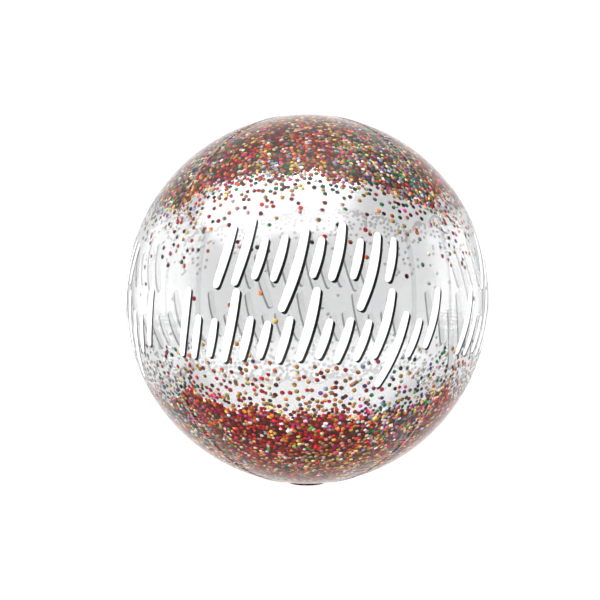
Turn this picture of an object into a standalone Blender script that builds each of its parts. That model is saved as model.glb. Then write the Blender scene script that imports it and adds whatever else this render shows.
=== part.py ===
"""Sphere foil balloon: a clear film globe welded from four gores, resting on its folded filling neck.

Metres, +Z up. The origin is on the ground below the globe's axis, and the front gore faces -Y.
The globe is sealed, so it is modelled as one solid with the true outer shape of the inflated film.
"""

import math

import bmesh
import bpy

# Globe
HEIGHT = 0.400  # ground to top pole
WIDTH = 0.391  # across the middles of two opposite gores
GORES = 4
GORE_BULGE = 0.012  # how far each gore's arc has its centre in front of the axis
SEAM_WIDTH = 0.007  # flattened weld along each seam
SEAM_RISE = 0.0007  # how far the weld stands out of the film
SEAM_FADE = math.radians(14)  # the weld flattens out this near a pole

# Filling neck, folded flat under the bottom pole
BILL_WIDTH = 0.038  # gathered mouth of the neck, left to right
BILL_DEPTH = 0.034  # front to back
BILL_HEIGHT = 0.0022
TAIL_WIDTH = 0.032  # flat tail behind the gather
TAIL_REACH = 0.056  # from the axis to the tail's end
TAIL_THICKNESS = 0.0012
TAIL_CORNER = 0.007

CLEARANCE = 0.0003  # between the neck and the film above it

# Fineness of the meshes
COLUMNS_PER_GORE = 16
ROWS = 40
BILL_COLUMNS = 40
BILL_ROWS = 16
CORNER_POINTS = 5

FILM_COLOUR = (0.90, 0.91, 0.94, 1.0)
NECK_COLOUR = (0.62, 0.30, 0.26, 1.0)


def clear_scene():
    for obj in list(bpy.data.objects):
        bpy.data.objects.remove(obj, do_unlink=True)


def collection(name):
    made = bpy.data.collections.new(name)
    bpy.context.scene.collection.children.link(made)
    return made


def material(name, colour, roughness, alpha=1.0):
    made = bpy.data.materials.new(name)
    made.use_nodes = True
    made.diffuse_color = colour
    shader = made.node_tree.nodes["Principled BSDF"]
    shader.inputs["Base Color"].default_value = colour
    shader.inputs["Roughness"].default_value = roughness
    shader.inputs["Metallic"].default_value = 0.0
    shader.inputs["Alpha"].default_value = alpha
    return made


def mesh_object(name, bm, where):
    mesh = bpy.data.meshes.new(name)
    bm.to_mesh(mesh)
    bm.free()
    obj = bpy.data.objects.new(name, mesh)
    where.objects.link(obj)
    return obj


def as_cutter(obj):
    obj.hide_render = True
    obj.display_type = "WIRE"
    return obj


def boolean(obj, other, operation):
    modifier = obj.modifiers.new(operation.title(), "BOOLEAN")
    modifier.operation = operation
    modifier.object = other


def smooth_step(value):
    held = min(max(value, 0.0), 1.0)
    return held * held * (3 - 2 * held)


def gore_share(turn):
    """Radius of a gore at an angle from its middle, as a share of its radius at the middle."""
    middle = WIDTH / 2
    arc = middle - GORE_BULGE
    return (GORE_BULGE * math.cos(turn) + math.sqrt(arc**2 - (GORE_BULGE * math.sin(turn)) ** 2)) / middle


def column_turn(column, ring_radius):
    """Angle of a column past its gore's first seam. The first and last columns edge the weld."""
    gore_angle = math.tau / GORES
    widest_edge = gore_angle / COLUMNS_PER_GORE
    edge = min(SEAM_WIDTH / 2 / max(ring_radius, SEAM_WIDTH), widest_edge)
    if column == 0:
        return 0.0
    return edge + (column - 1) * (gore_angle - 2 * edge) / (COLUMNS_PER_GORE - 2)


def globe_point(index, latitude):
    """A point of the inflated film, for a column's index round the whole globe."""
    gore_angle = math.tau / GORES
    gore, column = divmod(index, COLUMNS_PER_GORE)
    ring_radius = WIDTH / 2 * math.cos(latitude)
    turn = column_turn(column, ring_radius)
    radius = ring_radius * gore_share(turn - gore_angle / 2)
    half_height = (HEIGHT - BILL_HEIGHT - CLEARANCE) / 2
    height = HEIGHT - half_height + half_height * math.sin(latitude)
    if column == 0:
        rise = SEAM_RISE * smooth_step((math.pi / 2 - abs(latitude)) / SEAM_FADE)
        radius += rise * math.cos(latitude)
        height += rise * math.sin(latitude)
    front_seam = -math.pi / 2 - gore_angle / 2
    azimuth = front_seam + gore * gore_angle + turn
    return radius * math.cos(azimuth), radius * math.sin(azimuth), height


def make_globe(where):
    """A UV sphere whose columns follow the gores and their seams."""
    columns = GORES * COLUMNS_PER_GORE
    bm = bmesh.new()
    bmesh.ops.create_uvsphere(bm, u_segments=columns, v_segments=ROWS, radius=1.0)
    for vertex in bm.verts:
        x, y, z = vertex.co
        latitude = math.asin(min(max(z, -1.0), 1.0))
        index = round(math.atan2(y, x) / (math.tau / columns)) % columns
        vertex.co = globe_point(index, latitude)
    globe = mesh_object("film_globe", bm, where)
    globe.data.shade_smooth()
    globe.data.materials.append(material("clear_film", FILM_COLOUR, roughness=0.08, alpha=0.45))
    return globe


def make_bill(where):
    """The neck's gathered mouth: a low dome, whose lower half the ground cutter removes."""
    bm = bmesh.new()
    bmesh.ops.create_uvsphere(bm, u_segments=BILL_COLUMNS, v_segments=BILL_ROWS, radius=1.0)
    bmesh.ops.scale(bm, vec=(BILL_WIDTH / 2, BILL_DEPTH / 2, BILL_HEIGHT), verts=bm.verts)
    return mesh_object("filling_neck", bm, where)


def tail_outline():
    """The tail's flat outline: square under the bill, with rounded corners at its free end."""
    half = TAIL_WIDTH / 2
    points = [(half, 0.0)]
    for side, first in ((1, 0.0), (-1, math.pi / 2)):
        for step in range(CORNER_POINTS + 1):
            angle = first + step * math.pi / 2 / CORNER_POINTS
            x = side * (half - TAIL_CORNER) + TAIL_CORNER * math.cos(angle)
            y = TAIL_REACH - TAIL_CORNER + TAIL_CORNER * math.sin(angle)
            points.append((x, y))
    points.append((-half, 0.0))
    return points


def make_tail(where):
    """The flat tail as an outline extruded through the ground, which the ground cutter trims."""
    curve = bpy.data.curves.new("tail_outline", "CURVE")
    curve.dimensions = "2D"
    curve.fill_mode = "BOTH"
    curve.extrude = TAIL_THICKNESS
    outline = tail_outline()
    spline = curve.splines.new("POLY")
    spline.points.add(len(outline) - 1)
    for point, (x, y) in zip(spline.points, outline):
        point.co = (x, y, 0.0, 1.0)
    spline.use_cyclic_u = True
    shaped = bpy.data.objects.new("tail_outline", curve)
    where.objects.link(shaped)
    bpy.context.view_layer.update()
    evaluated = shaped.evaluated_get(bpy.context.evaluated_depsgraph_get())
    mesh = bpy.data.meshes.new_from_object(evaluated)
    bpy.data.objects.remove(shaped, do_unlink=True)
    bm = bmesh.new()
    bm.from_mesh(mesh)
    bmesh.ops.remove_doubles(bm, verts=bm.verts, dist=1e-6)
    bmesh.ops.recalc_face_normals(bm, faces=bm.faces)
    bpy.data.meshes.remove(mesh)
    return as_cutter(mesh_object("tail", bm, where))


def make_ground(where):
    """Cuts all that lies below the ground, which leaves the neck its flat underside."""
    size = 4 * (TAIL_REACH + BILL_WIDTH + BILL_DEPTH)
    bm = bmesh.new()
    bmesh.ops.create_cube(bm, size=size)
    bmesh.ops.translate(bm, vec=(0.0, 0.0, -size / 2), verts=bm.verts)
    return as_cutter(mesh_object("ground", bm, where))


def make_neck(where, helpers):
    neck = make_bill(where)
    boolean(neck, make_tail(helpers), "UNION")
    boolean(neck, make_ground(helpers), "DIFFERENCE")
    neck.data.shade_smooth()
    neck.data.materials.append(material("printed_film", NECK_COLOUR, roughness=0.2))
    return neck


def main():
    clear_scene()
    parts = collection("sphere_foil_balloon")
    helpers = collection("cutters")
    make_globe(parts)
    make_neck(parts, helpers)


main()
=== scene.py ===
"""Looks of the sphere foil balloon: four printed film gores welded into a globe, and its folded neck.

Metres, +Z up, the front gore faces -Y. Each gore is laid out flat first, as film is printed: x runs
across it and y along it from pole to pole. The print is cut into that flat layout, and the layout is
then wrapped onto the inflated shape. A gore has an outer skin with the inks, and an inner skin with
the white coat that backs them, so the far side of the globe looks pale through the clear film.
"""

import math
import random

import bpy
import numpy as np
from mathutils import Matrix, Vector
from mathutils.geometry import delaunay_2d_cdt


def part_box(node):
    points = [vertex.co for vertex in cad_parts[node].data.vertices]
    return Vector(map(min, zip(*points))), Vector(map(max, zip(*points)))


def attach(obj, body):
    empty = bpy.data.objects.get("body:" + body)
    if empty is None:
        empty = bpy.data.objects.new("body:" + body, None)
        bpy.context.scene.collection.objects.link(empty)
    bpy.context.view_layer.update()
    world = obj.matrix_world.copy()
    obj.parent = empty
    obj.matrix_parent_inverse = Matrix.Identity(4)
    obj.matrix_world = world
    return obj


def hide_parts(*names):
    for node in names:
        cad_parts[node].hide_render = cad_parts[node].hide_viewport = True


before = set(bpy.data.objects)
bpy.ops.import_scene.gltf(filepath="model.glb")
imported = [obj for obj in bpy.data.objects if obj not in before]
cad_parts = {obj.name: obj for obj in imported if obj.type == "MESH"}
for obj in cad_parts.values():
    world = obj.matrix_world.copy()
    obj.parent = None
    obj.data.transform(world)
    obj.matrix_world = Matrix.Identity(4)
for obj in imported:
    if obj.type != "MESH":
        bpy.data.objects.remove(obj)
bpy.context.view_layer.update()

MM = 0.001
GORES = ("front", "right", "back", "left")  # to the right round the globe
GORE_ANGLE = math.tau / len(GORES)
HALF_GORE = GORE_ANGLE / 2
FRONT_AZIMUTH = -math.pi / 2

# The globe, from its CAD node
GLOBE_LOW, GLOBE_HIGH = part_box("film_globe")
RADIUS = (GLOBE_HIGH.x - GLOBE_LOW.x) / 2
HALF_HEIGHT = (GLOBE_HIGH.z - GLOBE_LOW.z) / 2
MIDDLE_HEIGHT = (GLOBE_HIGH.z + GLOBE_LOW.z) / 2
GORE_BULGE = 12 * MM  # each gore's arc has its centre this far in front of the axis
SKIN_GAP = 0.2 * MM  # between a gore's outer and inner skin
SEAM_SKIN_GAP = 0.5 * MM  # added where the outer skin puckers, because the inner one is coarser
POLE_SKIN_GAP = 1.1 * MM  # added where it is pleated

# Welds and the puckers beside them
WELD_HALF = 4 * MM
WELD_RISE = 0.7 * MM
PUCKER_SPACING = 3.6 * MM
PUCKER_DEPTH = 0.42 * MM
PUCKER_REACH = 15 * MM
PUCKER_STRENGTH = 0.65  # share of its depth that a pucker has on average
PUCKER_UNEVENNESS = 0.4  # and how far that share wanders
PUCKER_ON_WELD = 0.35  # share that is left of it on the seam itself
PUCKER_SHIFT = 1.5  # radians that the puckers are moved along the seam
PUCKER_FAN = 60  # radians that they lean for each metre away from it
FOLD_SPACING = 13 * MM
FOLD_DEPTH = 0.55 * MM
FOLD_REACH = 34 * MM
FOLD_STRENGTH = 0.6
FOLD_UNEVENNESS = 0.4
FOLD_SHIFT = 1.8

# Random waves along each seam, as the length of their swings and a seed
PUCKER_STRENGTH_WAVE = (40 * MM, 20)
PUCKER_SHIFT_WAVE = (12 * MM, 40)
FOLD_SHIFT_WAVE = (30 * MM, 60)
FOLD_STRENGTH_WAVE = (60 * MM, 80)

# Pleats round the poles
PLEATS = 44
PLEAT_DEPTH = 1.4 * MM
PLEAT_START = math.radians(77)
POLE_FADE = math.radians(10)  # welds and puckers die out this near a pole
POLE_GAP_START = math.radians(74)  # from here the inner skin sinks deeper under the pleats
POLE_GAP_RISE = math.radians(6)

# Fineness of the flat layout
ROW_STEP = 0.95 * MM
BAND_COLUMNS = tuple(d * MM for d in (1.4, 2.7, 4.0, 5.6, 7.6, 10.0, 13.0))
GRID_STEP = 5.2 * MM
INNER_ROW_STEP = 1.9 * MM
INNER_GRID_STEP = 7 * MM
INNER_COLUMNS = BAND_COLUMNS[2::2]
GRID_ROW_SHARE = 0.87  # distance of a triangular grid's rows, as a share of its step
GRID_MARGIN = 0.6  # the grid stays this share of its step inside the columns along the welds
CUT_INSIDE = 1  # the cut keeps only what lies inside its faces
CUT_TOLERANCE = 1e-4  # in millimetres

# Confetti dots
SCATTER_SEED = 11
START_SEED = 5
COLOUR_SEED = 30  # of the first gore
LOOSE_DOT_RADII = (1.7 * MM, 2.15 * MM)
PACKED_DOT_RADII = (1.7 * MM, 2.5 * MM)
LOOSE_DOT_SIDES = 9
PACKED_DOT_SIDES = 6
SHADOW_DOT_SIZE = 1.04  # radius of a loose dot's shadow and of the coat behind it, as a share of its own
DOT_SHADOW_SHIFT = (0.5 * MM, -0.35 * MM)
DOT_TRIES = 90000
DENSE_SPACING = 2.65 * MM
LOOSE_SPACING = 3.7 * MM
LOOSE_SPACING_SHARES = (0.6, 1.0, 1.0, 1.5)
DOT_POLE_LIMIT = math.radians(88.8)

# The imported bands' ends towards the strokes, as turn and latitude in degrees
DENSE_TOP = ((-45, 26), (-38, 29), (-26, 33), (0, 34.5), (22, 30), (33, 27), (45, 23.5))
DENSE_LOW = ((-45, -23.5), (-38, -26), (-20, -29), (0, -31), (20, -31), (35, -29), (45, -25))
TOP_WAVES = ((0.9, 19, 1), (0.7, 41, 0))  # each a swing in degrees, its waves in a full turn, its start
LOW_WAVES = ((0.9, 17, 0), (0.7, 37, 2))
GAP_START = 2.0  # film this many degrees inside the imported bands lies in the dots' shared shadow
COAT_START = 1.5  # the white coat behind a packed band starts this many degrees inside it
COAT_OVERLAP = 1.0  # dots are backed singly this many degrees further inside
COAT_STEPS = 60

# How likely a spot takes a dot, by its degrees from the end of a packed band
EDGE_CHANCE = 0.14  # just inside a band
EDGE_DEPTH = 0.5  # the chance starts to rise to 1 this many degrees inside
EDGE_RISE = 2.5  # and has reached it after as many more
STRAY_CHANCE = 0.0004  # anywhere
LOW_FRINGE = ((0.08, 3, 2), (0.042, 13, 4))  # each a chance at the end, its reach and its fall's power
UPPER_FRINGE = ((0.1, 2.5, 2), (0.065, 7.5, 2), (0.016, 14, 2))
THIN_CROWD = 0.4  # what is left of the upper fringe on its thinner right
CROWD_SPREAD = 30  # degrees of turn over which it thins

# Brush strokes, in millimetres on the film from the gore's middle
STROKE_WIDTH = 8.4
STROKE_LEAN = 0.27  # how far a stroke moves right for each millimetre up
STROKE_BOW = -0.0018
STROKE_ENDS = 0.80  # width at a stroke's ends, as a share of its width
STROKE_SWELL = 0.20  # added to that share in its middle
STROKE_SEED = 3
STROKE_STEPS = 24
CAP_STEPS = 6
STROKE_JITTER = 1
SHORT_STROKE = 40
SHORT_STROKE_WIDTH = 0.9  # as a share of a long one's
STROKE_SHADOW_SHIFT = (2.3, -2.0)

# A row's middle height, its first stroke's place and the step to the next, and each stroke's low and high end
UPPER_ROW = (36, (-79, 17.6), ((13, 64), (15, 71), (20, 52), (18, 54), (-8, 60), (21, 52), (19, 66), (20, 51),
                               (-7, 57), (18, 53)))
LOWER_ROW = (-22, (-126, 18), ((-50, 8), (-52, -17), (-50, -20), (-54, 6), (-52, -18), (-50, -22), (-54, -18),
                               (-52, 7), (-50, -20), (-54, -19), (-52, -21), (-50, 6), (-78, -14), (-50, -20),
                               (-42, 8)))

# Numbers of the gores' materials
CLEAR, WELD, CONFETTI, WHITE, BLACK, BACKING, SHADOW_BACK, DOT_BACK = range(8)


def srgb(*channels):
    """A colour as seen, in the linear values that shaders read."""
    return tuple(c / 12.92 if c <= 0.04045 else ((c + 0.055) / 1.055) ** 2.4 for c in channels)


def grey(level):
    return srgb(level, level, level)


INKS = {
    "dark red": srgb(0.45, 0.07, 0.08),
    "red": srgb(0.72, 0.12, 0.12),
    "orange": srgb(0.86, 0.42, 0.20),
    "gold": srgb(0.80, 0.59, 0.26),
    "yellow": srgb(0.90, 0.80, 0.40),
    "dark green": srgb(0.12, 0.30, 0.18),
    "green": srgb(0.22, 0.52, 0.27),
    "lilac": srgb(0.62, 0.64, 0.78),
    "purple": srgb(0.36, 0.20, 0.46),
    "magenta": srgb(0.80, 0.18, 0.52),
    "silver": srgb(0.86, 0.84, 0.82),
    "rose": srgb(0.84, 0.60, 0.58),
    "sky": srgb(0.56, 0.67, 0.72),
    "cream": srgb(0.90, 0.82, 0.66),
    "umber": srgb(0.24, 0.14, 0.11),
}
MIXES = {
    "warm": {"rose": 1.6, "cream": 1, "red": 4.4, "dark red": 3, "orange": 4, "gold": 3, "yellow": 1.5,
             "magenta": 1, "silver": 0.8, "umber": 1, "green": 0.6, "lilac": 0.4},
    "olive": {"rose": 1, "cream": 0.8, "dark green": 2.4, "green": 1.2, "gold": 3, "silver": 0.8,
              "dark red": 3, "red": 1.4, "umber": 2, "orange": 1.8},
    "jewel": {"sky": 1.5, "rose": 1.5, "cream": 1.4, "green": 1.8, "dark green": 2, "lilac": 1.4,
              "purple": 1.4, "magenta": 1.1, "silver": 1, "gold": 2, "yellow": 1, "red": 1.4,
              "orange": 1, "umber": 1.6},
    "deep": {"rose": 1, "dark red": 5, "red": 5, "orange": 1.4, "gold": 0.8, "magenta": 0.7, "silver": 0.5,
             "umber": 1.2},
    "golden": {"gold": 5, "orange": 3, "yellow": 1.2, "red": 2.4, "dark green": 0.5, "lilac": 0.5,
               "magenta": 0.4},
}

# Where each mix is strongest: degrees across, latitude in degrees and reach in degrees
MIX_PATCHES = (
    ("olive", -36, 47, 14),
    ("deep", -31, 39, 9),
    ("warm", -4, 56, 17),
    ("jewel", -9, 42, 6),
    ("jewel", 33, 44, 15),
    ("olive", 14, 26, 10),
    ("deep", -24, -38, 14),
    ("deep", 5, -37, 12),
    ("olive", -44, -44, 9),
    ("jewel", 33, -36, 10),
    ("warm", 22, -50, 12),
    ("warm", -5, -62, 14),
    ("golden", 2, -22, 9),
    ("golden", -22, -20, 7),
    ("golden", -12, -17, 14),
    ("jewel", 28, -19, 8),
    ("warm", -32, 25, 9),
    ("olive", -4, 24, 8),
    ("warm", 24, 20, 9),
)
ANY_INK = 0.06  # share that every ink has everywhere

# Painted light and shade of the dots: brightest on their upper left and darkest on their lower right, with a
# random tone and a painted glint on some
DOT_GLOW = (0.2, 0.72)
GLINT_CHANCE = 0.13
GLINT = 1.3
BRIGHTEST_DOT = 0.95
BRIGHTEST_CORNER = 0.97
BRIGHT_SIDE = math.radians(135)
BRIGHT_SIDE_SPREAD = 0.7
DOT_CONTRAST = (0.35, 0.85)
SHADE_LIMITS = (0.1, 1.9)

# Shadow between packed dots: its tints and how often each occurs
GAP_TINTS = (INKS["umber"], srgb(0.10, 0.09, 0.08), srgb(0.20, 0.17, 0.10), INKS["dark red"])
GAP_SHARES = (4, 5, 3, 2)
GAP_SHADE = 0.3


def smooth(value):
    held = np.clip(value, 0.0, 1.0)
    return held * held * (3 - 2 * held)


def wander(along, wave, seam):
    """A smooth random wave about 0 along a seam, for arrays."""
    spacing, seed = wave
    draw = random.Random(seed + seam)
    waves, damping = 5, 2.2
    total = np.zeros_like(along)
    for _ in range(waves):
        total += np.sin(math.tau * along / (spacing * draw.uniform(0.7, 2.3)) + draw.uniform(0, math.tau))
    return total / damping


# The inflated shape


def gore_share(turn):
    """Radius of a gore at an angle from its middle, as a share of its radius at the middle."""
    arc = RADIUS - GORE_BULGE
    return (GORE_BULGE * np.cos(turn) + np.sqrt(arc**2 - (GORE_BULGE * np.sin(turn)) ** 2)) / RADIUS


def relief(gore, turn, latitude):
    """How far the film stands out of its plain inflated shape, in metres: weld, puckers and pleats."""
    along = latitude * RADIUS
    inward = (HALF_GORE - np.abs(turn)) * RADIUS * np.cos(latitude)
    away = np.abs(inward)
    seams = np.where((turn < 0) ^ (inward < 0), gore, gore + 1) % len(GORES)
    pole_fade = smooth((math.pi / 2 - np.abs(latitude)) / POLE_FADE)
    total = WELD_RISE * pole_fade * np.clip(1 - away / WELD_HALF, 0, 1)
    for seam in range(len(GORES)):
        here = seams == seam
        s, d, fade = along[here], away[here], pole_fade[here]
        strength = PUCKER_STRENGTH + PUCKER_UNEVENNESS * wander(s, PUCKER_STRENGTH_WAVE, seam)
        phase = math.tau * s / PUCKER_SPACING + PUCKER_SHIFT * wander(s, PUCKER_SHIFT_WAVE, seam)
        off_weld = PUCKER_ON_WELD + (1 - PUCKER_ON_WELD) * smooth(d / WELD_HALF)
        bite = off_weld * (1 - smooth((d - WELD_HALF) / (PUCKER_REACH - WELD_HALF)))
        pucker = PUCKER_DEPTH * strength * bite * (0.5 + 0.5 * np.cos(phase + PUCKER_FAN * d))
        folds = math.tau * s / FOLD_SPACING + FOLD_SHIFT * wander(s, FOLD_SHIFT_WAVE, seam)
        spread = smooth(d / (3 * WELD_HALF)) * (1 - smooth(d / FOLD_REACH))
        uneven = FOLD_STRENGTH + FOLD_UNEVENNESS * wander(s, FOLD_STRENGTH_WAVE, seam)
        fold = FOLD_DEPTH * spread * (0.5 + 0.5 * np.cos(folds)) * uneven
        total[here] -= fade * (pucker + fold)
    round_turn = turn + gore * GORE_ANGLE
    gather = smooth((np.abs(latitude) - PLEAT_START) / (math.pi / 2 - PLEAT_START))
    ring = np.cos(latitude) / math.cos(PLEAT_START)
    pleats = 0.5 + 0.5 * np.cos(PLEATS * round_turn + np.sin(5 * round_turn))
    return total - PLEAT_DEPTH * gather * ring * pleats


def film_points(gore, turn, latitude, inset=0.0):
    """Points of the film, or of a skin under it, as rows of x, y, z."""
    out = relief(gore, turn, latitude) - inset
    ring = RADIUS * np.cos(latitude) * gore_share(turn) + out * np.cos(latitude)
    azimuth = FRONT_AZIMUTH + gore * GORE_ANGLE + turn
    height = MIDDLE_HEIGHT + HALF_HEIGHT * np.sin(latitude) + out * np.sin(latitude)
    return np.stack([ring * np.cos(azimuth), ring * np.sin(azimuth), height], axis=1)


def inner_depths(turn, latitude):
    """Depth of the inner skin under the film, more where the film is gathered."""
    inward = (HALF_GORE - np.abs(turn)) * RADIUS * np.cos(latitude)
    near_seam = 1 - smooth(inward / PUCKER_REACH)
    near_pole = smooth((np.abs(latitude) - POLE_GAP_START) / POLE_GAP_RISE)
    return SKIN_GAP + SEAM_SKIN_GAP * near_seam + POLE_SKIN_GAP * near_pole


def flat(turn, latitude):
    """Where a point of the film lies on the flat gore."""
    return turn * RADIUS * np.cos(latitude), latitude * RADIUS


def unflat(x, y):
    """Turn and latitude of points of the flat gore."""
    smallest_ring = 1e-7
    latitude = np.clip(y / RADIUS, -math.pi / 2, math.pi / 2)
    ring = np.maximum(RADIUS * np.cos(latitude), smallest_ring)
    return np.clip(x / ring, -HALF_GORE, HALF_GORE), latitude


def film_normals(gore, x, y, inset):
    """Outward normals from the shape itself, so that the cuts of the print don't show in reflections."""
    step = 0.25 * MM
    limit = math.pi / 2 * RADIUS - 2 * step
    y = np.clip(y, -limit, limit)
    latitude = y / RADIUS
    ring = np.maximum(RADIUS * np.cos(latitude), step)

    def point(dx, dy):
        return film_points(gore, (x + dx) / ring, (y + dy) / RADIUS, inset)

    across = point(step, 0) - point(-step, 0)
    up = point(0, step) - point(0, -step)
    normals = np.cross(across, up)
    return normals / np.linalg.norm(normals, axis=1, keepdims=True)


# The print, drawn on the flat gore


def signed_area(outline):
    return sum(a[0] * b[1] - b[0] * a[1] for a, b in zip(outline, outline[1:] + outline[:1])) / 2


class Shape:
    """One printed shape: its outline on the flat gore, its ink, and the dot that it is, if any."""

    def __init__(self, outline, ink, dot=None):
        # A cut wants its outlines counter-clockwise
        self.outline = outline if signed_area(outline) > 0 else outline[::-1]
        self.ink = ink
        self.dot = dot


def disc(turn, latitude, radius, sides, shift=(0.0, 0.0), start=0.0):
    """A disc that is round on the inflated globe, as points of the flat gore."""
    points = []
    for side in range(sides):
        angle = start + side * math.tau / sides
        up = radius * math.sin(angle) + shift[1]
        across = radius * math.cos(angle) + shift[0]
        corner_turn = turn + across / (RADIUS * math.cos(latitude))
        points.append(flat(corner_turn, latitude + up / RADIUS))
    return points


def band_end(spots, waves, turn):
    """Latitude where a packed band ends: through the given spots, with waves."""
    end = np.interp(np.degrees(turn), *zip(*spots))
    for swing, pace, start in waves:
        end = end + swing * np.sin(pace * turn + start)
    return np.radians(end)


def dense_edges(turn):
    """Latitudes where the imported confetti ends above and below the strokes."""
    return band_end(DENSE_TOP, TOP_WAVES, turn), band_end(DENSE_LOW, LOW_WAVES, turn)


def packed_depth(turn, latitude):
    """Degrees inside the nearer packed band, below 0 among the strokes."""
    top, low = dense_edges(turn)
    return np.degrees(np.maximum(latitude - top, low - latitude))


def fringe_chance(parts, depth):
    return sum(chance * math.exp(-((depth / reach) ** power)) for chance, reach, power in parts)


def confetti_chance(turn, latitude, depth):
    """How likely a spot takes a dot: 1 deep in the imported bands, falling off towards the strokes."""
    if depth > 0:
        return EDGE_CHANCE + (1 - EDGE_CHANCE) * float(smooth((depth - EDGE_DEPTH) / EDGE_RISE))
    if latitude < 0:
        return fringe_chance(LOW_FRINGE, depth) + STRAY_CHANCE
    crowd = THIN_CROWD + (1 - THIN_CROWD) * float(smooth(0.5 - math.degrees(turn) / CROWD_SPREAD))
    return crowd * fringe_chance(UPPER_FRINGE, depth) + STRAY_CHANCE


def scatter_dots():
    """Seeded dots as (turn, latitude, radius, packed), none too near another."""
    draw = random.Random(SCATTER_SEED)
    cell = DENSE_SPACING
    around = (-2, -1, 0, 1, 2)
    taken = {}
    dots = []
    for _ in range(DOT_TRIES):
        turn = draw.uniform(-HALF_GORE, HALF_GORE)
        latitude = math.asin(draw.uniform(-1, 1))
        depth = float(packed_depth(turn, latitude))
        chance = confetti_chance(turn, latitude, depth)
        if abs(latitude) > DOT_POLE_LIMIT or draw.random() > chance:
            continue
        packed = depth > 0
        spacing = DENSE_SPACING if packed else LOOSE_SPACING * draw.choice(LOOSE_SPACING_SHARES)
        ring = RADIUS * math.cos(latitude)
        spot = (ring * math.cos(turn), ring * math.sin(turn), RADIUS * math.sin(latitude))
        key = tuple(math.floor(v / cell) for v in spot)
        near = (
            other
            for i in around
            for j in around
            for k in around
            for other in taken.get((key[0] + i, key[1] + j, key[2] + k), ())
        )
        if any(math.dist(other, spot) < spacing for other in near):
            continue
        taken.setdefault(key, []).append(spot)
        radius = draw.uniform(*(PACKED_DOT_RADII if packed else LOOSE_DOT_RADII))
        dots.append((turn, latitude, radius, packed))
    return dots


def brush_outline(points, width):
    """The outline of a brush stroke along a centreline, full in its middle and round at its ends."""
    path = [Vector(p) for p in points]
    steps = [(b - a).length for a, b in zip(path, path[1:])]
    length = sum(steps)
    left, right, reached = [], [], 0.0
    for i, spot in enumerate(path):
        ahead = path[min(i + 1, len(path) - 1)]
        behind = path[max(i - 1, 0)]
        side = (ahead - behind).normalized().orthogonal()
        half = width / 2 * (STROKE_ENDS + STROKE_SWELL * math.sin(math.pi * reached / length))
        left.append(spot + side * half)
        right.append(spot - side * half)
        if i < len(steps):
            reached += steps[i]

    def cap(centre, first):
        arm = first - centre
        angles = (math.pi * k / CAP_STEPS for k in range(1, CAP_STEPS))
        return [centre + arm * math.cos(a) + arm.orthogonal() * math.sin(a) for a in angles]

    return right + cap(path[-1], right[-1]) + left[::-1] + cap(path[0], left[0])


def brush_stroke(across, low, high, middle, width):
    """A stroke from its low to its high end. It leans and bows as all others of its row do."""
    points = []
    for i in range(STROKE_STEPS + 1):
        up = low + (high - low) * i / STROKE_STEPS
        away = up - middle
        points.append((across + STROKE_LEAN * away + STROKE_BOW * away**2, up))
    return brush_outline(points, width)


def stroke_rows():
    """Two rows of separate leaning strokes in the inscription's place, as outlines in millimetres."""
    draw = random.Random(STROKE_SEED)
    outlines = []
    for middle, (first, step), spans in (UPPER_ROW, LOWER_ROW):
        for i, (low, high) in enumerate(spans):
            across = first + step * i + draw.uniform(-STROKE_JITTER, STROKE_JITTER)
            width = STROKE_WIDTH * (SHORT_STROKE_WIDTH if high - low < SHORT_STROKE else 1.0)
            outlines.append(brush_stroke(across, low, high, middle, width))
    return outlines


def on_gore(outline, shift=(0.0, 0.0)):
    """An outline in millimetres on the film, as points of the flat gore."""
    return [flat((p.x + shift[0]) * MM / RADIUS, (p.y + shift[1]) * MM / RADIUS) for p in outline]


def stroke_shapes(shadow_ink, white_ink):
    """Each stroke after its own drop shadow."""
    shapes = []
    for outline in stroke_rows():
        shapes.append(Shape(on_gore(outline, STROKE_SHADOW_SHIFT), shadow_ink))
        shapes.append(Shape(on_gore(outline), white_ink))
    return shapes


def outer_shapes(dots):
    """All that is printed on the outer skin, in the order of printing."""
    draw = random.Random(START_SEED)
    shapes = []
    for index, (turn, latitude, radius, packed) in enumerate(dots):
        start = draw.uniform(0, math.tau)
        sides = PACKED_DOT_SIDES if packed else LOOSE_DOT_SIDES
        if not packed:
            shadow = disc(turn, latitude, radius * SHADOW_DOT_SIZE, sides, DOT_SHADOW_SHIFT, start)
            shapes.append(Shape(shadow, BLACK))
        shapes.append(Shape(disc(turn, latitude, radius, sides, start=start), CONFETTI, index))
    return shapes + stroke_shapes(BLACK, WHITE)


def coat_band(edge, side):
    """The white coat behind a whole packed band, from inside the band's end to the pole."""
    pole = side * math.pi / 2
    inset = side * math.radians(COAT_START)
    turns = [HALF_GORE * (2 * i / COAT_STEPS - 1) for i in range(COAT_STEPS + 1)]
    border = [flat(t, dense_edges(t)[edge] + inset) for t in turns]
    last = dense_edges(HALF_GORE)[edge] + inset
    first = dense_edges(-HALF_GORE)[edge] + inset
    right = [flat(HALF_GORE, last + (pole - last) * i / COAT_STEPS) for i in range(1, COAT_STEPS + 1)]
    left = [flat(-HALF_GORE, pole + (first - pole) * i / COAT_STEPS) for i in range(1, COAT_STEPS)]
    return border + right + left


def inner_shapes(dots):
    """The white coat behind the inks: a small disc behind each dot outside it, and two whole bands."""
    shapes = []
    shift = (DOT_SHADOW_SHIFT[0] / 2, DOT_SHADOW_SHIFT[1] / 2)
    for turn, latitude, radius, _ in dots:
        if packed_depth(turn, latitude) < COAT_START + COAT_OVERLAP:
            coat = disc(turn, latitude, radius * SHADOW_DOT_SIZE, LOOSE_DOT_SIDES, shift)
            shapes.append(Shape(coat, DOT_BACK))
    shapes += [Shape(coat_band(edge, side), BACKING) for edge, side in ((0, 1), (1, -1))]
    return shapes + stroke_shapes(SHADOW_BACK, BACKING)


# Cutting the print into the flat gore


def gore_edge(y):
    """Half the flat gore's width at a height."""
    return HALF_GORE * RADIUS * math.cos(y / RADIUS)


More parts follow.
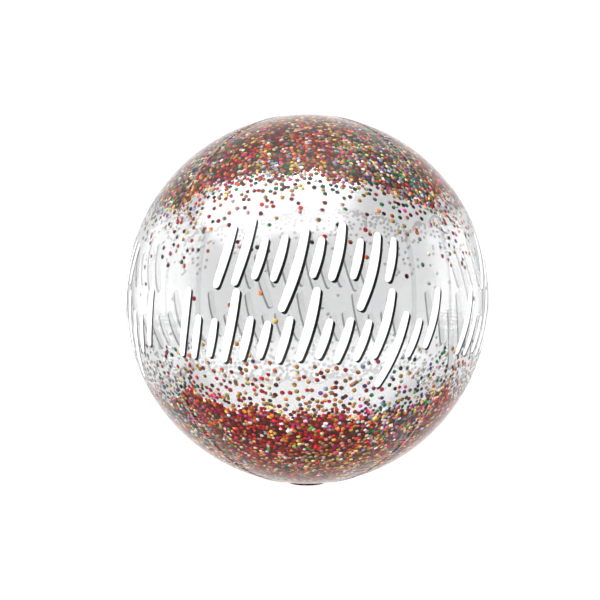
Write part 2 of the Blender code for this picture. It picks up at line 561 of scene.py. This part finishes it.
def layout_points(row_step, grid_step, columns):
    """The gore's outline, the loose points that carry its relief, and the lines along its welds."""
    pole = math.pi / 2 * RADIUS
    rows = round(2 * pole / row_step)
    heights = [pole * (2 * i / rows - 1) for i in range(rows + 1)]
    outline = [(0.0, -pole)]
    outline += [(gore_edge(y), y) for y in heights[1:-1]]
    outline += [(0.0, pole)]
    outline += [(-gore_edge(y), y) for y in heights[-2:0:-1]]
    loose, weld_lines = [], ([], [])
    for y in heights[1:-1]:
        edge = gore_edge(y)
        for column in columns:
            if column > edge - row_step:
                continue
            for line, side in enumerate((-1, 1)):
                point = (side * (edge - column), y)
                if column == WELD_HALF:
                    weld_lines[line].append(point)
                else:
                    loose.append(point)
    inside = columns[-1] + grid_step * GRID_MARGIN
    grid_rows = round(2 * pole / (grid_step * GRID_ROW_SHARE))
    widest = math.ceil(gore_edge(0) / grid_step)
    for row in range(1, grid_rows):
        y = pole * (2 * row / grid_rows - 1)
        reach = gore_edge(y) - inside
        offset = 0.5 * (row % 2)
        for column in range(-widest, widest + 1):
            x = (column + offset) * grid_step
            if abs(x) <= reach:
                loose.append((x, y))
    return outline, loose, weld_lines


def cut_layout(shapes, row_step, grid_step, columns):
    """Cuts the shapes into the flat gore. Gives its points, triangles and each triangle's shape."""
    outline, loose, weld_lines = layout_points(row_step, grid_step, columns)
    points = list(outline)
    faces = [list(range(len(outline)))]
    edges = []
    for line in weld_lines:
        edges += [(len(points) + i, len(points) + i + 1) for i in range(len(line) - 1)]
        points += line
    points += loose
    for shape in shapes:
        faces.append(list(range(len(points), len(points) + len(shape.outline))))
        points += shape.outline
    vectors = [Vector(p) / MM for p in points]
    made = delaunay_2d_cdt(vectors, edges, faces, CUT_INSIDE, CUT_TOLERANCE, True)
    places, _, triangles, _, _, origins = made
    kept = [(face, max(origin)) for face, origin in zip(triangles, origins) if 0 in origin]
    flat_points = np.array([(v.x, v.y) for v in places]) * MM
    corners = np.array([face for face, _ in kept])
    owner = np.array([top - 1 for _, top in kept])
    return flat_points, corners, owner


def ink_faces(flat_points, corners, owner, shapes):
    """Each triangle's ink, which is its shape's own or else weld or bare film, and its middle."""
    ink = np.full(len(corners), CLEAR)
    printed = owner >= 0
    ink[printed] = [shapes[i].ink for i in owner[printed]]
    middle = flat_points[corners].mean(axis=1)
    edge = HALF_GORE * RADIUS * np.cos(middle[:, 1] / RADIUS)
    ink[~printed & (edge - np.abs(middle[:, 0]) < WELD_HALF)] = WELD
    return ink, middle


def shade_gaps(ink, middle):
    """Paints shadow as dark ink on the film among packed dots, a little way inside their band. Says where it
    did.
    """
    latitude = middle[:, 1] / RADIUS
    turn = middle[:, 0] / (RADIUS * np.cos(latitude))
    bare = (ink == CLEAR) | (ink == WELD)
    gaps = bare & (packed_depth(turn, latitude) > GAP_START)
    # painted shadow among packed dots, carried by the dots' material and colour layer
    ink[gaps] = CONFETTI
    return gaps


def mix_at(turn, latitude):
    """Shares of the mixes at a spot, from their patches."""
    shares = {}
    for name, across, up, reach in MIX_PATCHES:
        away = math.hypot(math.degrees(turn) * math.cos(latitude) - across * math.cos(math.radians(up)),
                          math.degrees(latitude) - up)
        shares[name] = shares.get(name, 0.0) + math.exp(-((away / reach) ** 2))
    return shares


def dot_colours(dots, seed):
    """A colour for each dot, drawn from the mixes that are strong at its spot."""
    draw = random.Random(seed)
    colours = []
    for turn, latitude, _, _ in dots:
        shares = mix_at(turn, latitude)
        weights = {ink: ANY_INK for ink in INKS}
        for name, share in shares.items():
            for ink, amount in MIXES[name].items():
                weights[ink] += share * amount
        ink = draw.choices(list(weights), list(weights.values()))[0]
        # a painted glint on some dots, a random tone on the others
        glow = draw.uniform(*DOT_GLOW) if draw.random() > GLINT_CHANCE else GLINT
        colours.append([min(c * glow, BRIGHTEST_DOT) for c in INKS[ink]])
    return np.array(colours)


def corner_colours(layout, dots, seed):
    """Colour at each corner: painted light on a dot's upper left and painted shade on its lower right, and
    painted shadow among packed dots.
    """
    flat_points, corners, owner, shapes, gaps = layout
    draw = random.Random(seed + 1)
    colours = np.zeros((len(corners), 3, 4))
    colours[..., 3] = 1.0
    own = dot_colours(dots, seed)
    slants = np.array([draw.gauss(BRIGHT_SIDE, BRIGHT_SIDE_SPREAD) for _ in dots])
    depth = np.array([draw.uniform(*DOT_CONTRAST) for _ in dots])
    centre = np.array([flat(turn, latitude) for turn, latitude, _, _ in dots])
    size = np.array([radius for _, _, radius, _ in dots])
    which = np.array([shapes[i].dot if i >= 0 and shapes[i].dot is not None else -1 for i in owner])
    faces = np.flatnonzero(which >= 0)
    dot = which[faces]
    offset = (flat_points[corners[faces]] - centre[dot][:, None]) / size[dot][:, None, None]
    towards = offset[..., 0] * np.cos(slants[dot])[:, None] + offset[..., 1] * np.sin(slants[dot])[:, None]
    # painted light on each dot's upper left side and painted shade on its lower right
    shade = np.clip(1 + depth[dot][:, None] * np.clip(2 * towards, -1, 1), *SHADE_LIMITS)
    colours[faces, :, :3] = np.clip(own[dot][:, None] * shade[..., None], 0, BRIGHTEST_CORNER)
    # painted shadow among packed dots
    gap_faces = np.flatnonzero(gaps)
    pick = np.array([draw.choices(range(len(GAP_TINTS)), GAP_SHARES)[0] for _ in gap_faces], int)
    colours[gap_faces, :, :3] = np.array(GAP_TINTS)[pick][:, None] * GAP_SHADE
    return colours


# Materials

FILM_IOR = 2.0
SHEEN_ROUGHNESS = 0.3
NOISE_SPAN = (0.3, 0.7)  # nearly all values of noise lie between these


def add_node(tree, kind, inputs=None, **settings):
    made = tree.nodes.new(kind)
    for name, value in settings.items():
        setattr(made, name, value)
    for name, value in (inputs or {}).items():
        made.inputs[name].default_value = value
    return made


def shader_material(name, **plain):
    """A material with one Principled shader, whose plain values go on its own sockets."""
    material = bpy.data.materials.new(name)
    material.use_nodes = True
    tree = material.node_tree
    shader = tree.nodes["Principled BSDF"]
    for socket, value in plain.items():
        shader.inputs[socket.replace("_", " ")].default_value = value
    return material, tree, shader


def noise_of(tree, scale, detail):
    """Noise in the object's own coordinates, which no view changes."""
    coordinates = add_node(tree, "ShaderNodeTexCoord")
    noise = add_node(tree, "ShaderNodeTexNoise", {"Scale": scale, "Detail": detail})
    tree.links.new(coordinates.outputs["Object"], noise.inputs["Vector"])
    return noise.outputs["Fac"]


def ramp(tree, value, low, high):
    """A colour between two, by a value."""
    made = add_node(tree, "ShaderNodeValToRGB")
    for stop, position, colour in zip(made.color_ramp.elements, NOISE_SPAN, (low, high)):
        stop.position = position
        stop.color = (*colour, 1.0)
    tree.links.new(value, made.inputs["Fac"])
    return made.outputs["Color"]


def vary(tree, shader, socket, value, low, high):
    """Lets a value of the shader wander between two, by a value."""
    start, end = NOISE_SPAN
    limits = {"From Min": start, "From Max": end, "To Min": low, "To Max": high}
    spread = add_node(tree, "ShaderNodeMapRange", limits)
    tree.links.new(value, spread.inputs["Value"])
    tree.links.new(spread.outputs["Result"], shader.inputs[socket])


def bump(tree, shader, value, distance, strength=1.0):
    made = add_node(tree, "ShaderNodeBump", {"Strength": strength, "Distance": distance})
    tree.links.new(value, made.inputs["Height"])
    tree.links.new(made.outputs["Normal"], shader.inputs["Normal"])


def film_material():
    """Clear film with a light haze, glossy on both sides."""
    material, tree, shader = shader_material("clear_film", Alpha=0.17, IOR=FILM_IOR)
    haze = ramp(tree, noise_of(tree, 9, 4), srgb(0.50, 0.505, 0.52), srgb(0.54, 0.545, 0.555))
    tree.links.new(haze, shader.inputs["Base Color"])
    vary(tree, shader, "Roughness", noise_of(tree, 34, 5), 0.17, 0.27)
    bump(tree, shader, noise_of(tree, 120, 2), 0.02 * MM, 0.3)
    return material


def weld_material():
    """Welded film, pressed into a ladder of small ticks along the seam. It is cloudier than the film, and its
    greys are painted light on the ticks' tops and painted shade in their hollows.
    """
    material, tree, shader = shader_material("weld_film", Alpha=0.38, IOR=FILM_IOR)
    coordinates = add_node(tree, "ShaderNodeTexCoord")
    ticks = add_node(
        tree, "ShaderNodeTexWave", {"Scale": 92.0, "Distortion": 2.5, "Detail": 2.0, "Detail Scale": 6.0},
        wave_type="BANDS", bands_direction="Z",
    )
    tree.links.new(coordinates.outputs["Object"], ticks.inputs["Vector"])
    # darker in the ticks' hollows and lighter on their tops, as the bump has them: painted shade and light
    weld_grey_and_painted_tick_shade = ramp(tree, ticks.outputs["Fac"], srgb(0.34, 0.34, 0.36), srgb(0.74, 0.745, 0.755))
    tree.links.new(weld_grey_and_painted_tick_shade, shader.inputs["Base Color"])
    vary(tree, shader, "Roughness", noise_of(tree, 34, 5), 0.12, 0.26)
    bump(tree, shader, ticks.outputs["Fac"], 0.25 * MM, 0.8)
    return material


def confetti_material():
    """The dots' inks, with their painted light and shade and the painted shadow among packed dots, from the
    gores' colour layer, with a fine grain.
    """
    material, tree, shader = shader_material(
        "confetti_ink", Specular_IOR_Level=0.05, Sheen_Weight=0.9, Sheen_Roughness=SHEEN_ROUGHNESS
    )
    ink = add_node(tree, "ShaderNodeVertexColor", layer_name="ink")
    darkest_grain, brightest_grain = (0.72, 0.72, 0.72), (1.0, 1.0, 1.0)
    grain = ramp(tree, noise_of(tree, 1600, 2), darkest_grain, brightest_grain)
    mixed = add_node(tree, "ShaderNodeMix", {"Factor": 1.0}, data_type="RGBA", blend_type="MULTIPLY")
    tree.links.new(ink.outputs["Color"], mixed.inputs["A"])
    tree.links.new(grain, mixed.inputs["B"])
    tree.links.new(mixed.outputs["Result"], shader.inputs["Base Color"])
    vary(tree, shader, "Roughness", noise_of(tree, 420, 2), 0.28, 0.5)
    return material


def ink_material(name, low, high, roughness, gloss, sheen=0.0):
    """A plain ink whose grey and gloss wander a little."""
    material, tree, shader = shader_material(
        name, Specular_IOR_Level=gloss, Sheen_Weight=sheen, Sheen_Roughness=SHEEN_ROUGHNESS
    )
    tree.links.new(ramp(tree, noise_of(tree, 60, 4), low, high), shader.inputs["Base Color"])
    vary(tree, shader, "Roughness", noise_of(tree, 130, 3), *roughness)
    return material


def neck_material():
    """Film of the neck, where packed dots are squeezed into folds. Each dot darkens towards its edge: painted
    shade of the folds.
    """
    material, tree, shader = shader_material("neck_print", Coat_Weight=0.6, Coat_Roughness=0.15)
    coordinates = add_node(tree, "ShaderNodeTexCoord")
    cells = add_node(tree, "ShaderNodeTexVoronoi", {"Scale": 300.0, "Randomness": 0.9})
    tree.links.new(coordinates.outputs["Object"], cells.inputs["Vector"])
    split = add_node(tree, "ShaderNodeSeparateColor")
    tree.links.new(cells.outputs["Color"], split.inputs["Color"])
    pick = add_node(tree, "ShaderNodeValToRGB")
    pick.color_ramp.interpolation = "CONSTANT"
    names = ("dark red", "red", "umber", "dark green", "gold", "dark red", "purple", "orange")
    for i, ink in enumerate(names):
        spot = i / len(names)
        stop = pick.color_ramp.elements[0] if i == 0 else pick.color_ramp.elements.new(spot)
        stop.color = (*INKS[ink], 1.0)
    tree.links.new(split.outputs["Red"], pick.inputs["Fac"])
    # darkening towards each dot's edge: painted shade in the folds between the dots
    rim = ramp(tree, cells.outputs["Distance"], (0.8, 0.8, 0.8), (0.06, 0.05, 0.05))
    mixed = add_node(tree, "ShaderNodeMix", {"Factor": 1.0}, data_type="RGBA", blend_type="MULTIPLY")
    tree.links.new(pick.outputs["Color"], mixed.inputs["A"])
    tree.links.new(rim, mixed.inputs["B"])
    tree.links.new(mixed.outputs["Result"], shader.inputs["Base Color"])
    vary(tree, shader, "Roughness", noise_of(tree, 260, 3), 0.18, 0.4)
    bump(tree, shader, noise_of(tree, 420, 3), 0.08 * MM, 0.7)
    return material


def gore_materials():
    """In the order of the inks' numbers."""
    return (
        film_material(),
        weld_material(),
        confetti_material(),
        ink_material("white_ink", grey(0.97), grey(0.985), (0.3, 0.42), gloss=0.4),
        ink_material("black_ink", grey(0.02), grey(0.07), (0.25, 0.4), gloss=0.08, sheen=0.8),
        ink_material("backing_ink", grey(0.955), grey(0.98), (0.45, 0.6), gloss=0.1),
        ink_material("shadow_back_ink", grey(0.52), grey(0.60), (0.4, 0.55), gloss=0.1, sheen=0.8),
        ink_material("dot_back_ink", srgb(0.72, 0.70, 0.70), srgb(0.80, 0.78, 0.78), (0.4, 0.55), gloss=0.1),
    )


# Pieces


def gore_mesh(name, points, normals, corners, ink, colours, uvs):
    """Both skins of a gore as one mesh, with its inks, colours, flat layout and smooth normals."""
    mesh = bpy.data.meshes.new(name)
    mesh.from_pydata(points.tolist(), [], corners.tolist())
    mesh.polygons.foreach_set("material_index", ink.astype(np.int32))
    mesh.polygons.foreach_set("use_smooth", np.ones(len(corners), bool))
    layer = mesh.color_attributes.new("ink", "FLOAT_COLOR", "CORNER")
    layer.data.foreach_set("color", colours.astype(np.float32).ravel())
    uv_layer = mesh.uv_layers.new(name="OFBake")
    uv_layer.data.foreach_set("uv", uvs.astype(np.float32).ravel())
    mesh.update()
    mesh.normals_split_custom_set_from_vertices(normals.tolist())
    return mesh


def flat_uvs(flat_points, corners, half):
    """The flat layout on one square: the outer skin in its half 0, the inner one in its half 1."""
    width = 2 * HALF_GORE * RADIUS
    filled = 0.995
    centre = (0.25 if half == 0 else 0.75, 0.5)
    x = flat_points[:, 0] / width * filled / 2 + centre[0]
    y = flat_points[:, 1] / (2 * width) * filled + centre[1]
    return np.stack([x, y], axis=1)[corners]


def place_piece(name, mesh, node):
    """Puts a mesh into the scene in a CAD node's stead."""
    piece = bpy.data.objects.new(name, mesh)
    bpy.context.scene.collection.objects.link(piece)
    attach(piece, "root")
    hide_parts(node)


def make_gores():
    """Cuts the print once, then wraps it four times, with dots of other colours on each gore."""
    dots = scatter_dots()
    outer = outer_shapes(dots)
    points, corners, owner = cut_layout(outer, ROW_STEP, GRID_STEP, BAND_COLUMNS)
    ink, middle = ink_faces(points, corners, owner, outer)
    gaps = shade_gaps(ink, middle)
    layout = (points, corners, owner, outer, gaps)
    spots = unflat(points[:, 0], points[:, 1])
    inner = inner_shapes(dots)
    in_points, in_corners, in_owner = cut_layout(inner, INNER_ROW_STEP, INNER_GRID_STEP, INNER_COLUMNS)
    in_ink, _ = ink_faces(in_points, in_corners, in_owner, inner)
    in_ink[in_ink == WELD] = CLEAR
    in_corners = in_corners[:, ::-1]
    in_colours = np.ones((len(in_corners), 3, 4))
    in_spots = unflat(in_points[:, 0], in_points[:, 1])
    in_depths = inner_depths(*in_spots)
    uvs = np.concatenate([flat_uvs(points, corners, 0), flat_uvs(in_points, in_corners, 1)])
    all_corners = np.concatenate([corners, in_corners + len(points)])
    all_ink = np.concatenate([ink, in_ink])
    materials = gore_materials()
    for gore, side in enumerate(GORES):
        name = f"film_gore_{side}"
        all_points = np.concatenate([film_points(gore, *spots), film_points(gore, *in_spots, in_depths)])
        normals = np.concatenate([
            film_normals(gore, points[:, 0], points[:, 1], 0.0),
            -film_normals(gore, in_points[:, 0], in_points[:, 1], in_depths),
        ])
        colours = np.concatenate([corner_colours(layout, dots, COLOUR_SEED + gore), in_colours])
        mesh = gore_mesh(name, all_points, normals, all_corners, all_ink, colours, uvs)
        for material in materials:
            mesh.materials.append(material)
        place_piece(name, mesh, "film_globe")


# The folded neck, from its CAD node
NECK_LOW, NECK_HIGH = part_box("filling_neck")
BILL_HALF_WIDTH = NECK_HIGH.x
BILL_HALF_DEPTH = -NECK_LOW.y
TAIL_HALF_WIDTH = 16 * MM
TAIL_CORNER = 7 * MM
TAIL_THICKNESS = 1.15 * MM
NECK_SPOKES = 240
NECK_RINGS = 26
NECK_PLEATS = 31
NECK_PLEAT_DEPTH = 0.55 * MM
NECK_THINNEST = 0.12 * MM
NECK_RIM = 0.45  # height of the layers at their rim, as a share of their thickness
NECK_CREASE = 50  # degrees between faces that meet in a crease
RIPPLE_DEPTH = 0.10 * MM
RIPPLE_WIDTH = 2.3 * MM
RIPPLE_SWING = 9 * MM
RIPPLE_BEND = 1.7
TOP_LAYER = 0.35 * MM
TOP_LAYER_END = 34 * MM  # behind the axis, where it is cut off on a slant
TOP_LAYER_SLANT = 0.12
TOP_LAYER_EDGE = 0.25 * MM
EDGE_SLOPE = 9  # the layers thin out over the last ninth of the neck's reach


def neck_reach(angle):
    """How far the folded neck reaches from the axis in a direction."""
    c, s = math.cos(angle), math.sin(angle)
    bill = 1 / math.hypot(c / BILL_HALF_WIDTH, s / BILL_HALF_DEPTH)
    if s <= 0:
        return bill
    smallest = 1e-6
    side = TAIL_HALF_WIDTH / max(abs(c), smallest)
    reach = min(side, NECK_HIGH.y / s)
    corner = Vector((TAIL_HALF_WIDTH - TAIL_CORNER, NECK_HIGH.y - TAIL_CORNER))
    x, y = abs(c) * reach, s * reach
    if x > corner.x and y > corner.y:
        along = abs(c) * corner.x + s * corner.y
        reach = along + math.sqrt(max(along**2 - corner.length_squared + TAIL_CORNER**2, 0.0))
    return max(bill, reach)


def neck_height(x, y, share):
    """Height of the folded film: a pleated dome under the pole, and flat layers behind it."""
    level = math.hypot(x / BILL_HALF_WIDTH, y / BILL_HALF_DEPTH)
    angle = math.atan2(y, x)
    edge = min(1.0, (1 - share) * EDGE_SLOPE)
    layers = TAIL_THICKNESS * (NECK_RIM + (1 - NECK_RIM) * math.sqrt(edge))
    layers += RIPPLE_DEPTH * math.sin(x / RIPPLE_WIDTH + RIPPLE_BEND * math.sin(y / RIPPLE_SWING))
    past_top_layer = (y - TOP_LAYER_END - TOP_LAYER_SLANT * x) / TOP_LAYER_EDGE
    layers -= TOP_LAYER / (1 + math.exp(-past_top_layer))
    if level < 1:
        pleats = 0.5 + 0.5 * math.cos(NECK_PLEATS * angle + 2 * math.sin(3 * angle))
        dome = NECK_HIGH.z * math.sqrt(1 - level**2) - NECK_PLEAT_DEPTH * level * pleats
        layers = max(layers, dome)
    return min(max(layers, NECK_THINNEST), NECK_HIGH.z)


def neck_points():
    """The two centres, then the rings of the upper side and those of the flat underside."""
    points = [(0.0, 0.0, NECK_HIGH.z), (0.0, 0.0, 0.0)]
    for under in (False, True):
        for ring in range(1, NECK_RINGS + 1):
            share = ring / NECK_RINGS
            for spoke in range(NECK_SPOKES):
                angle = math.tau * spoke / NECK_SPOKES
                reach = neck_reach(angle) * share
                x, y = reach * math.cos(angle), reach * math.sin(angle)
                points.append((x, y, 0.0 if under else neck_height(x, y, share)))
    return points


def neck_faces():
    """Fans round both centres, quads between the rings, and quads down the rim."""
    faces = []
    for under in (False, True):
        start = 2 + (NECK_RINGS * NECK_SPOKES if under else 0)
        for spoke in range(NECK_SPOKES):
            after = (spoke + 1) % NECK_SPOKES
            fan = (1 if under else 0, start + spoke, start + after)
            faces.append(fan[::-1] if under else fan)
            for ring in range(NECK_RINGS - 1):
                a, b = start + ring * NECK_SPOKES, start + (ring + 1) * NECK_SPOKES
                quad = (a + spoke, b + spoke, b + after, a + after)
                faces.append(quad[::-1] if under else quad)
    top_rim = 2 + (NECK_RINGS - 1) * NECK_SPOKES
    low_rim = top_rim + NECK_RINGS * NECK_SPOKES
    for spoke in range(NECK_SPOKES):
        after = (spoke + 1) % NECK_SPOKES
        faces.append((top_rim + spoke, low_rim + spoke, low_rim + after, top_rim + after))
    return faces


def make_neck():
    mesh = bpy.data.meshes.new("neck_film")
    mesh.from_pydata(neck_points(), [], neck_faces())
    mesh.shade_smooth()
    mesh.set_sharp_from_angle(angle=math.radians(NECK_CREASE))
    mesh.materials.append(neck_material())
    place_piece("neck_film", mesh, "filling_neck")


# Studio

FLOOR_HALF_WIDTH = 6.0
FLOOR_COLOUR = 0.7
FLOOR_COLOUR_SEEN = 0.08  # as the camera sees it, so that it takes hardly any shadow
FLOOR_GLOW_SEEN = 0.97
FLOOR_GLOW_ON_OBJECT = 0.5
BACKDROP_SEEN = 1.05
WORLD_BEHIND = 0.8
WORLD_FRONT = 1.75
WORLD_BRIGHT_SIDE = (0.0, -0.92, -0.38)

# Lights as name, place, aim, size in metres and power in watts
CEILING = MIDDLE_HEIGHT + 1.2
LEFT_WALL_HEIGHT = MIDDLE_HEIGHT + 0.2
RIGHT_WALL_HEIGHT = MIDDLE_HEIGHT + 0.1
GLOBE_MIDDLE = (0, 0, MIDDLE_HEIGHT)
MIRRORED_LIGHTS = (
    ("ceiling_softbox", (-0.65, -0.78, CEILING), (-0.65, -0.78, 0), (2.5, 1.56), 210),
    ("floor_glow", (0, -0.34, 0.004), (0, -0.34, 1), (0.9, 0.34), 6.5),
    ("left_wall", (-1.5, 0.35, LEFT_WALL_HEIGHT), (0, 0.35, LEFT_WALL_HEIGHT), (1.3, 1.3), 34),
    ("right_wall", (1.5, 0.45, RIGHT_WALL_HEIGHT), (0, 0.45, RIGHT_WALL_HEIGHT), (1.1, 1.3), 27),
)
SOFT_LIGHTS = (
    ("left_softbox", (-1.25, -0.32, 0.45), GLOBE_MIDDLE, (0.35, 0.9), 2),
    ("right_softbox", (1.3, -0.2, 0.4), GLOBE_MIDDLE, (0.35, 0.9), 1),
)


def make_floor():
    """A pale light table, bright enough to leave only a faint shadow."""
    half = FLOOR_HALF_WIDTH
    corners = [(-half, -half, 0), (half, -half, 0), (half, half, 0), (-half, half, 0)]
    mesh = bpy.data.meshes.new("studio_floor")
    mesh.from_pydata(corners, [], [(0, 1, 2, 3)])
    material, tree, shader = shader_material("studio_floor", Roughness=0.9)
    shader.inputs["Emission Color"].default_value = (1, 1, 1, 1)
    light_path = add_node(tree, "ShaderNodeLightPath")
    seen = light_path.outputs["Is Camera Ray"]
    glows = {"A": FLOOR_GLOW_ON_OBJECT, "B": FLOOR_GLOW_SEEN}
    tints = {"A": FLOOR_COLOUR, "B": FLOOR_COLOUR_SEEN}
    glow = add_node(tree, "ShaderNodeMix", glows, data_type="FLOAT")
    tint = add_node(tree, "ShaderNodeMix", tints, data_type="FLOAT")
    tree.links.new(seen, glow.inputs["Factor"])
    tree.links.new(seen, tint.inputs["Factor"])
    tree.links.new(glow.outputs["Result"], shader.inputs["Emission Strength"])
    tree.links.new(tint.outputs["Result"], shader.inputs["Base Color"])
    mesh.materials.append(material)
    floor = bpy.data.objects.new("studio_floor", mesh)
    bpy.context.scene.collection.objects.link(floor)


def make_world():
    """Brightest in front and low down, dimmer behind. The camera sees an even white backdrop."""
    world = bpy.data.worlds.new("studio")
    bpy.context.scene.world = world
    world.use_nodes = True
    tree = world.node_tree
    background = tree.nodes["Background"]
    background.inputs["Color"].default_value = (1, 1, 1, 1)
    coordinates = add_node(tree, "ShaderNodeTexCoord")
    turned = add_node(tree, "ShaderNodeVectorMath", operation="DOT_PRODUCT")
    turned.inputs[1].default_value = Vector(WORLD_BRIGHT_SIDE).normalized()
    tree.links.new(coordinates.outputs["Generated"], turned.inputs[0])
    level = add_node(tree, "ShaderNodeMapRange", {
        "From Min": -1.0, "From Max": 1.0, "To Min": WORLD_BEHIND, "To Max": WORLD_FRONT,
    })
    tree.links.new(turned.outputs["Value"], level.inputs["Value"])
    light_path = add_node(tree, "ShaderNodeLightPath")
    seen = add_node(tree, "ShaderNodeMix", {"B": BACKDROP_SEEN}, data_type="FLOAT")
    tree.links.new(light_path.outputs["Is Camera Ray"], seen.inputs["Factor"])
    tree.links.new(level.outputs["Result"], seen.inputs["A"])
    tree.links.new(seen.outputs["Result"], background.inputs["Strength"])


def add_light(name, place, aim, size, power):
    data = bpy.data.lights.new(name, "AREA")
    data.shape = "RECTANGLE"
    data.size, data.size_y = size
    data.energy = power
    light = bpy.data.objects.new(name, data)
    light.location = place
    light.rotation_mode = "QUATERNION"
    light.rotation_quaternion = (Vector(aim) - Vector(place)).to_track_quat("-Z", "Y")
    bpy.context.scene.collection.objects.link(light)
    return light


def make_lights():
    """Lights that the film mirrors and that light nothing else, and two soft ones that light it all."""
    for settings in MIRRORED_LIGHTS:
        light = add_light(*settings)
        light.visible_diffuse = False
        light.visible_camera = False
    for settings in SOFT_LIGHTS:
        add_light(*settings)


CAMERA_DISTANCE = 0.971
CAMERA_PLACE = (-7.6 * MM, -CAMERA_DISTANCE, MIDDLE_HEIGHT - 1.0 * MM)
SENSOR_WIDTH = 36
PICTURE_WIDTH = 600  # pixels
FOCAL_LENGTH = 884  # in the same pixels


def make_camera():
    data = bpy.data.cameras.new("camera")
    data.sensor_width = SENSOR_WIDTH
    data.lens = FOCAL_LENGTH / PICTURE_WIDTH * SENSOR_WIDTH
    camera = bpy.data.objects.new("camera", data)
    camera.location = CAMERA_PLACE
    camera.rotation_mode = "QUATERNION"
    camera.rotation_quaternion = Vector((0, 1, 0)).to_track_quat("-Z", "Y")
    bpy.context.scene.collection.objects.link(camera)
    bpy.context.scene.camera = camera


make_camera()
make_world()
make_lights()
make_floor()
make_gores()
make_neck()
bpy.context.scene.view_settings.view_transform = "Standard"
